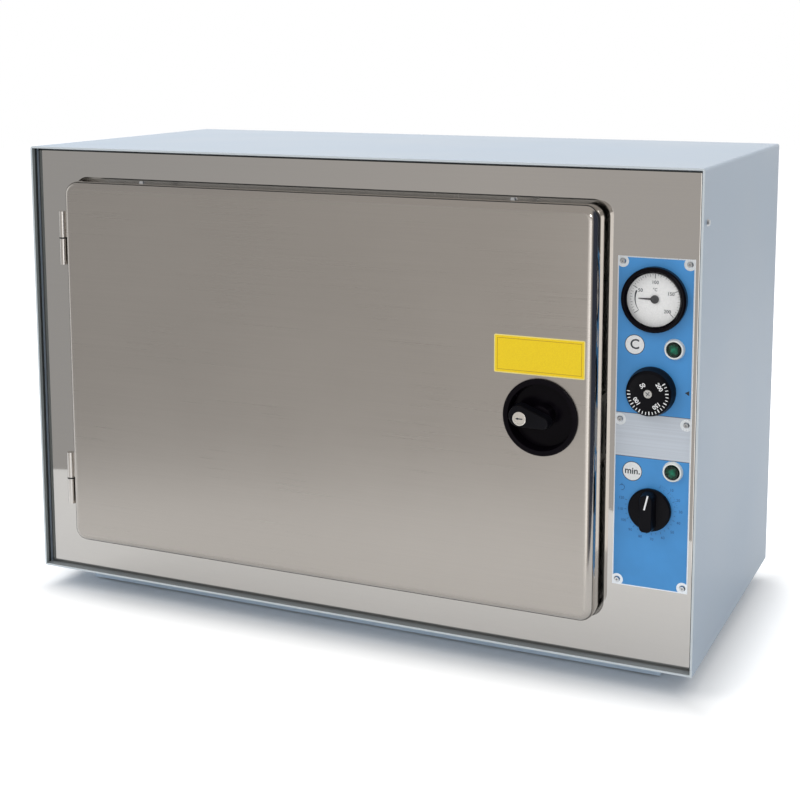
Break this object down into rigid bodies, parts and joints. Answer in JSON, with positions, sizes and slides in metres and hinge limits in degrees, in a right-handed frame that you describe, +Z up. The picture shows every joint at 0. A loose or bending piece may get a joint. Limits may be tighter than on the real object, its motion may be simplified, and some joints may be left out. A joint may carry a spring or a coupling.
{
  "type": "hot air sterilizer",
  "caption": "Bench-top hot air sterilizer: insulated steel cabinet with a hinged door, round lever lock, thermostat and timer knobs, dial thermometer and shelves.",
  "frame": {"origin": "on the surface the feet stand on, under the middle of the whole outline", "axes": "+Z up, +X to the right of someone facing the door, the door faces -Y"},
  "size_m": [0.734, 0.406, 0.491],
  "materials": {
    "casing_paint": "semi-gloss paint",
    "plinth_paint": "semi-gloss paint",
    "rubber": "matt",
    "mirror_steel": "bright annealed",
    "satin_steel": "fine horizontal grain",
    "liner_steel": "bright",
    "galvanised": "galvanised",
    "screw_steel": "plated",
    "hinge_steel": "satin",
    "wool": "mineral wool",
    "silicone": "silicone",
    "shelf_aluminium": "satin",
    "heater_sheath": "heat tinted",
    "copper": "bare",
    "black_plastic": "moulded",
    "black_gloss": "moulded",
    "plate_metal": "satin",
    "blue_foil": "printed film",
    "white_dial": "matt white",
    "needle": "matt",
    "glass": "clear",
    "lamp_chrome": "plated",
    "green_lens": "clear green",
    "steel_plated": "zinc plated",
    "key_nickel": "nickel plated",
    "white_nylon": "moulded"
  },
  "bodies": {
    "cabinet": {"casing_wrap": "casing_paint", "base_pan": "casing_paint", "plinth": "plinth_paint", "rubber_feet": "rubber", "rear_panel": "casing_paint", "casing_screws": "screw_steel", "front_panel": "mirror_steel", "hinge_frame_leaves": "hinge_steel", "hinge_pins": "steel_plated", "hinge_washers": "steel_plated", "strike_plate": "steel_plated", "chamber_liner": "liner_steel", "insulation_wrap": "wool", "insulation_back": "wool", "partition_plate": "galvanised", "chamber_saddles": "galvanised", "shelf_runners": "liner_steel", "shelf_upper": "shelf_aluminium", "shelf_lower": "shelf_aluminium", "floor_plate": "shelf_aluminium", "heater_element": "heater_sheath", "thermostat_bulb": "copper", "thermometer_bulb": "copper", "thermostat_capillary": "copper", "thermometer_capillary": "copper", "sensor_clips": "galvanised", "control_plate": "plate_metal", "control_foil": "blue_foil", "control_plate_screws": "screw_steel", "thermometer_case": "black_plastic", "thermometer_bezel": "black_gloss", "thermometer_dial": "white_dial", "thermometer_glass": "glass", "thermostat_body": "steel_plated", "timer_body": "black_plastic", "spindle_nuts": "steel_plated", "lamp_bezels": "lamp_chrome", "lamp_lenses": "green_lens", "lamp_bodies": "black_plastic", "terminal_block": "white_nylon", "cable_gland": "black_plastic", "gland_cap": "black_plastic"},
    "door": {"door_outer_shell": "satin_steel", "door_inner_panel": "liner_steel", "door_insulation": "wool", "door_gasket": "silicone", "door_screws": "screw_steel", "hinge_door_leaves": "hinge_steel", "latch_dish": "black_gloss"},
    "latch": {"latch_lever": "black_plastic", "lock_barrel": "key_nickel", "latch_shaft": "steel_plated", "latch_cam": "steel_plated"},
    "key_plug": {"lock_plug": "key_nickel"},
    "thermostat_dial": {"thermostat_knob": "black_plastic", "thermostat_knob_screw": "steel_plated", "thermostat_spindle": "steel_plated"},
    "timer_dial": {"timer_knob": "black_plastic", "timer_spindle": "steel_plated"},
    "pointer": {"thermometer_pointer": "needle"}
  },
  "joints": [
    {"name": "door_hinge", "type": "hinge", "parent": "cabinet", "child": "door", "pos_m": [-0.3175, -0.17905, 0.263], "axis": [0, 0, -1], "range_deg": [0, 170]},
    {"name": "latch_turn", "type": "hinge", "parent": "door", "child": "latch", "pos_m": [0.223, -0.19195, 0.258], "axis": [0, -1, 0], "range_deg": [0, 90]},
    {"name": "key_turn", "type": "hinge", "parent": "latch", "child": "key_plug", "pos_m": [0.207, -0.20205, 0.258], "axis": [0, 1, 0], "range_deg": [0, 90]},
    {"name": "thermostat_turn", "type": "hinge", "parent": "cabinet", "child": "thermostat_dial", "pos_m": [0.32, -0.16905, 0.2865], "axis": [0, -1, 0], "range_deg": [-35, 170]},
    {"name": "timer_turn", "type": "hinge", "parent": "cabinet", "child": "timer_dial", "pos_m": [0.3207, -0.16905, 0.175], "axis": [0, -1, 0], "range_deg": [-285, 45]},
    {"name": "pointer_turn", "type": "hinge", "parent": "cabinet", "child": "pointer", "pos_m": [0.321, -0.16305, 0.371], "axis": [0, 1, 0], "range_deg": [-36, 222]}
  ]
}
